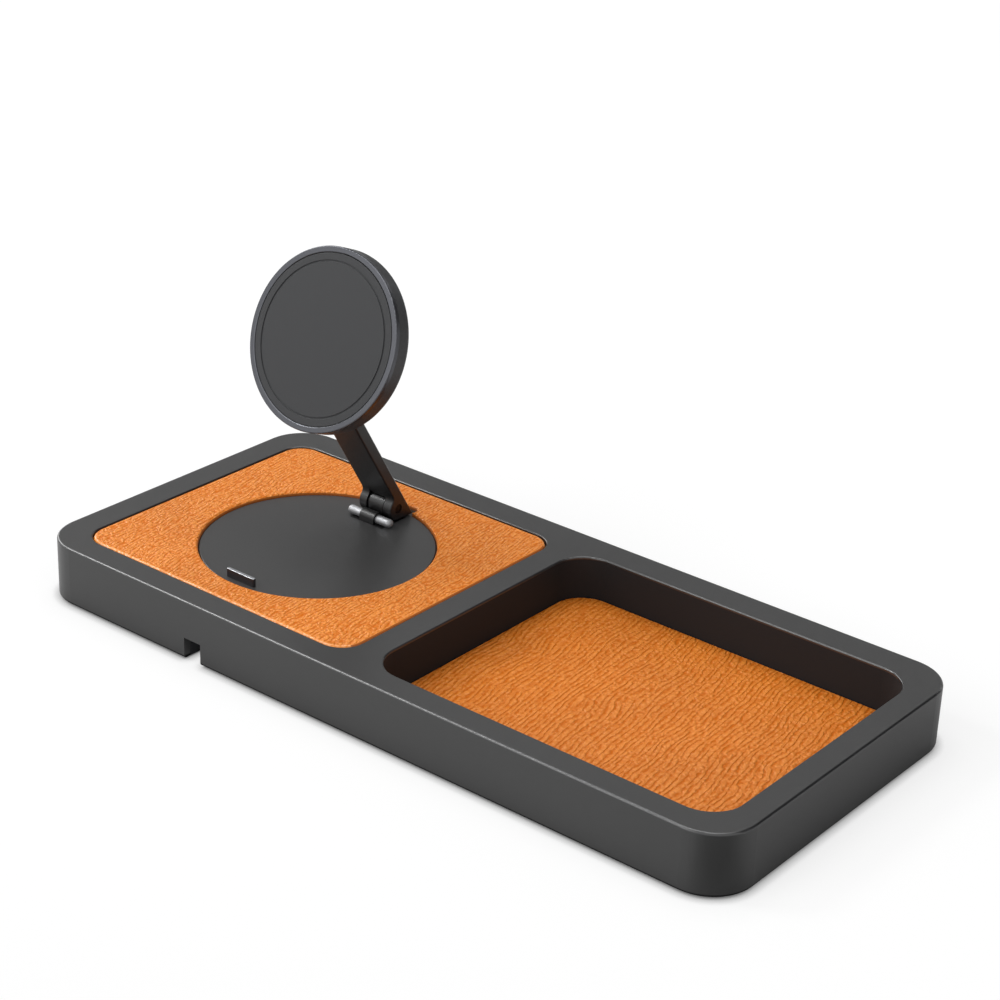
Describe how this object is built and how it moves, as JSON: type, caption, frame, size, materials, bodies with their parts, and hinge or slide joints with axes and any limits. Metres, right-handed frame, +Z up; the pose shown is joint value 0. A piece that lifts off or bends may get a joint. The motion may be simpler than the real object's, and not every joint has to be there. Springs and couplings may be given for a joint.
{
  "type": "charging station organizer",
  "caption": "Long low desk tray: leather pad with a fold-flat round phone charging stand on the left, leather-lined catch-all well on the right.",
  "frame": {"origin": "on the table, under the middle of the tray", "axes": "+X along the tray from the charging pad to the well, +Y to the back, +Z up"},
  "size_m": [0.26, 0.119, 0.1142],
  "materials": {
    "body_plastic": "moulded ABS, fine matte texture",
    "stand_plastic": "moulded ABS, satin",
    "tan_leather": "full-grain cowhide, pebbled",
    "fibre_board": "pressed fibre board",
    "stop_aluminium": "milled, grey anodised, bare top",
    "zinc_steel": "stamped, zinc plated",
    "screw_steel": "black zinc",
    "hinge_black": "cast zinc, black powder coat",
    "bar_steel": "turned, satin",
    "pin_steel": "ground",
    "washer_nylon": "punched nylon",
    "arm_paint": "die-cast aluminium, matte black powder coat",
    "ring_anodised": "turned, dark anodised",
    "face_silicone": "silicone, soft matte",
    "ferrite": "sintered ferrite",
    "coil_copper": "enamelled copper winding",
    "magnet_nickel": "nickel-plated magnet",
    "lead_jacket": "extruded jacket",
    "foot_rubber": "moulded, matte",
    "board_laminate": "glass laminate with solder mask",
    "component_black": "moulded resin",
    "socket_steel": "drawn stainless shell"
  },
  "bodies": {
    "tray": {"tray_body": "body_plastic", "bottom_cover": "body_plastic", "panel_board": "fibre_board", "well_board": "fibre_board", "panel_leather": "tan_leather", "well_leather": "tan_leather", "stand_base": "stand_plastic", "phone_stop": "stop_aluminium", "clamp_ring": "zinc_steel", "clamp_screws": "screw_steel", "hinge_bracket": "hinge_black", "hinge_screws": "screw_steel", "hinge_bar": "bar_steel", "cover_screws": "screw_steel", "rubber_feet": "foot_rubber", "control_board": "board_laminate", "board_components": "component_black", "board_screws": "screw_steel", "usb_socket": "socket_steel", "socket_tongue": "component_black"},
    "arm": {"arm": "arm_paint", "arm_cover": "stand_plastic", "coil_lead": "lead_jacket", "base_hinge_pin": "pin_steel", "base_hinge_washers": "washer_nylon", "head_hinge_pin": "pin_steel", "head_hinge_washers": "washer_nylon"},
    "head": {"head_shell": "arm_paint", "head_ring": "ring_anodised", "face_plate": "stand_plastic", "face_pad": "face_silicone", "ring_magnets": "magnet_nickel", "shield_plate": "ferrite", "charging_coil": "coil_copper"}
  },
  "joints": [
    {"name": "arm_fold", "type": "hinge", "parent": "tray", "child": "arm", "pos_m": [-0.0633, 0.027, 0.0234], "axis": [1, 0, 0], "range_deg": [0, 58.3]},
    {"name": "head_fold", "type": "hinge", "parent": "arm", "child": "head", "pos_m": [-0.0633, 0.00099, 0.06552], "axis": [1, 0, 0], "range_deg": [-126.3, 0]}
  ],
  "couplings": [
    {"joint": "head_fold", "follows": "arm_fold", "ratio": -2.1663}
  ]
}
